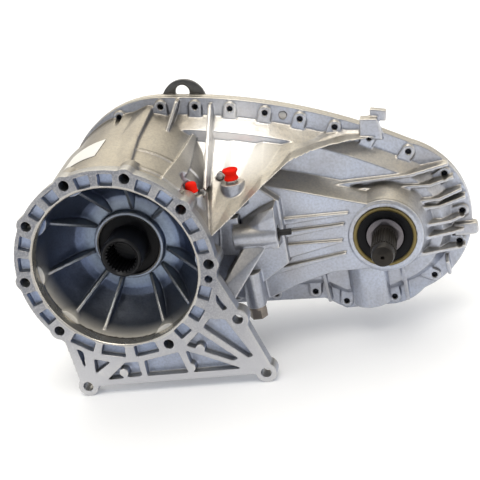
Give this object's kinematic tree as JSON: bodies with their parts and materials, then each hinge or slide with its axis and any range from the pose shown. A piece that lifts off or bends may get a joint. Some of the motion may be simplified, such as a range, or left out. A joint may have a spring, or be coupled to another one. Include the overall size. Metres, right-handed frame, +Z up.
{
  "type": "transfer case",
  "caption": "Chain-drive transfer case: ribbed split aluminium housing with round bell flange, bracket ears, offset splined front output, and geared low range.",
  "frame": {"origin": "centre of the bell's mouth, on the front face of the round flange", "axes": "-Y out of the bell's mouth along the input axis, +X towards the front output, +Z up with the two lower ears level"},
  "size_m": [0.4743, 0.276, 0.2967],
  "materials": {
    "cast_aluminium": "as cast, machined faces",
    "zinc_steel": "zinc plated",
    "gear_steel": "ground",
    "dark_steel": "phosphated",
    "sleeve_steel": "ground",
    "seal_metal": "passivated, yellow",
    "seal_rubber": "matt",
    "black_plastic": "matt",
    "red_plastic": "semi-gloss",
    "plug_bronze": "plated, worn",
    "label_paper": "matt, blank",
    "magnet_grey": "matt"
  },
  "bodies": {
    "case": {"front_case": "cast_aluminium", "rear_case": "cast_aluminium", "case_bolts": "zinc_steel", "case_dowels": "gear_steel", "lifting_eye": "zinc_steel", "drain_plug": "plug_bronze", "fill_plug": "plug_bronze", "vent_fitting": "black_plastic", "speed_sensor": "black_plastic", "chip_magnet": "magnet_grey", "port_nipple_low": "dark_steel", "port_nipple_high": "dark_steel", "port_screws": "dark_steel", "label": "label_paper", "input_seal": "seal_rubber", "input_bearing": "gear_steel", "input_snap_ring": "gear_steel", "annulus_gear": "gear_steel", "annulus_snap_ring": "gear_steel", "oil_pump_body": "cast_aluminium", "rear_bearing": "gear_steel", "rear_snap_ring": "gear_steel", "tail_seal": "seal_rubber", "output_seal_lip": "seal_rubber", "output_seal_ring": "seal_metal", "output_bearing": "gear_steel", "output_snap_ring": "gear_steel", "output_rear_bearing": "gear_steel", "fork_rail": "gear_steel", "drive_chain": "dark_steel"},
    "input": {"input_gear": "gear_steel"},
    "main_line": {"main_shaft": "gear_steel", "oil_pump_rotor": "gear_steel"},
    "drive_sprocket": {"drive_sprocket": "gear_steel"},
    "carrier": {"planet_carrier": "gear_steel", "planet_pins": "gear_steel"},
    "planet_1": {"planet_gear_1": "gear_steel"},
    "planet_2": {"planet_gear_2": "gear_steel"},
    "planet_3": {"planet_gear_3": "gear_steel"},
    "planet_4": {"planet_gear_4": "gear_steel"},
    "range_collar": {"range_collar": "gear_steel"},
    "lock_collar": {"lock_collar": "gear_steel"},
    "front_output": {"front_output_shaft": "dark_steel", "driven_sprocket": "gear_steel", "output_sleeve": "sleeve_steel"},
    "range_fork": {"range_fork": "cast_aluminium"},
    "mode_fork": {"mode_fork": "cast_aluminium"},
    "shift_shaft": {"shift_shaft": "gear_steel"},
    "port_cap_low": {"port_cap_low": "red_plastic"},
    "port_cap_high": {"port_cap_high": "red_plastic"}
  },
  "joints": [
    {"name": "input_spin", "type": "hinge", "parent": "case", "child": "input", "pos_m": [0, 0, 0], "axis": [0, 1, 0], "continuous": true},
    {"name": "main_spin", "type": "hinge", "parent": "case", "child": "main_line", "pos_m": [0, 0, 0], "axis": [0, 1, 0], "continuous": true},
    {"name": "sprocket_spin", "type": "hinge", "parent": "case", "child": "drive_sprocket", "pos_m": [0, 0, 0], "axis": [0, 1, 0], "continuous": true},
    {"name": "output_spin", "type": "hinge", "parent": "case", "child": "front_output", "pos_m": [0.27, 0, -0.0255], "axis": [0, 1, 0], "continuous": true},
    {"name": "carrier_spin", "type": "hinge", "parent": "case", "child": "carrier", "pos_m": [0, 0, 0], "axis": [0, 1, 0], "continuous": true},
    {"name": "planet_1_spin", "type": "hinge", "parent": "carrier", "child": "planet_1", "pos_m": [0.048, 0, 0], "axis": [0, 1, 0], "continuous": true},
    {"name": "planet_2_spin", "type": "hinge", "parent": "carrier", "child": "planet_2", "pos_m": [0, 0, 0.048], "axis": [0, 1, 0], "continuous": true},
    {"name": "planet_3_spin", "type": "hinge", "parent": "carrier", "child": "planet_3", "pos_m": [-0.048, 0, 0], "axis": [0, 1, 0], "continuous": true},
    {"name": "planet_4_spin", "type": "hinge", "parent": "carrier", "child": "planet_4", "pos_m": [0, 0, -0.048], "axis": [0, 1, 0], "continuous": true},
    {"name": "shift_turn", "type": "hinge", "parent": "case", "child": "shift_shaft", "pos_m": [0.096, 0, 0.08], "axis": [0, 1, 0], "range_deg": [0, 100]},
    {"name": "range_fork_slide", "type": "slide", "parent": "case", "child": "range_fork", "axis": [0, 1, 0], "range_m": [0, 0.013]},
    {"name": "range_collar_slide", "type": "slide", "parent": "main_line", "child": "range_collar", "axis": [0, 1, 0], "range_m": [0, 0.013]},
    {"name": "mode_fork_slide", "type": "slide", "parent": "case", "child": "mode_fork", "axis": [0, 1, 0], "range_m": [0, 0.008]},
    {"name": "lock_collar_slide", "type": "slide", "parent": "main_line", "child": "lock_collar", "axis": [0, 1, 0], "range_m": [0, 0.008]},
    {"name": "low_cap_pull", "type": "slide", "parent": "case", "child": "port_cap_low", "axis": [0, 0, 1], "range_m": [0, 0.02]},
    {"name": "high_cap_pull", "type": "slide", "parent": "case", "child": "port_cap_high", "axis": [0, 0, 1], "range_m": [0, 0.02]}
  ],
  "couplings": [
    {"joint": "main_spin", "follows": "input_spin", "ratio": 1},
    {"joint": "sprocket_spin", "follows": "input_spin", "ratio": 1},
    {"joint": "output_spin", "follows": "input_spin", "ratio": 1},
    {"joint": "carrier_spin", "follows": "input_spin", "ratio": 0.375},
    {"joint": "planet_1_spin", "follows": "input_spin", "ratio": -1.875},
    {"joint": "planet_2_spin", "follows": "input_spin", "ratio": -1.875},
    {"joint": "planet_3_spin", "follows": "input_spin", "ratio": -1.875},
    {"joint": "planet_4_spin", "follows": "input_spin", "ratio": -1.875},
    {"joint": "range_fork_slide", "follows": "shift_turn", "m_per_rad": 0.0074484},
    {"joint": "range_collar_slide", "follows": "shift_turn", "m_per_rad": 0.0074484},
    {"joint": "lock_collar_slide", "follows": "mode_fork_slide", "ratio": 1}
  ]
}
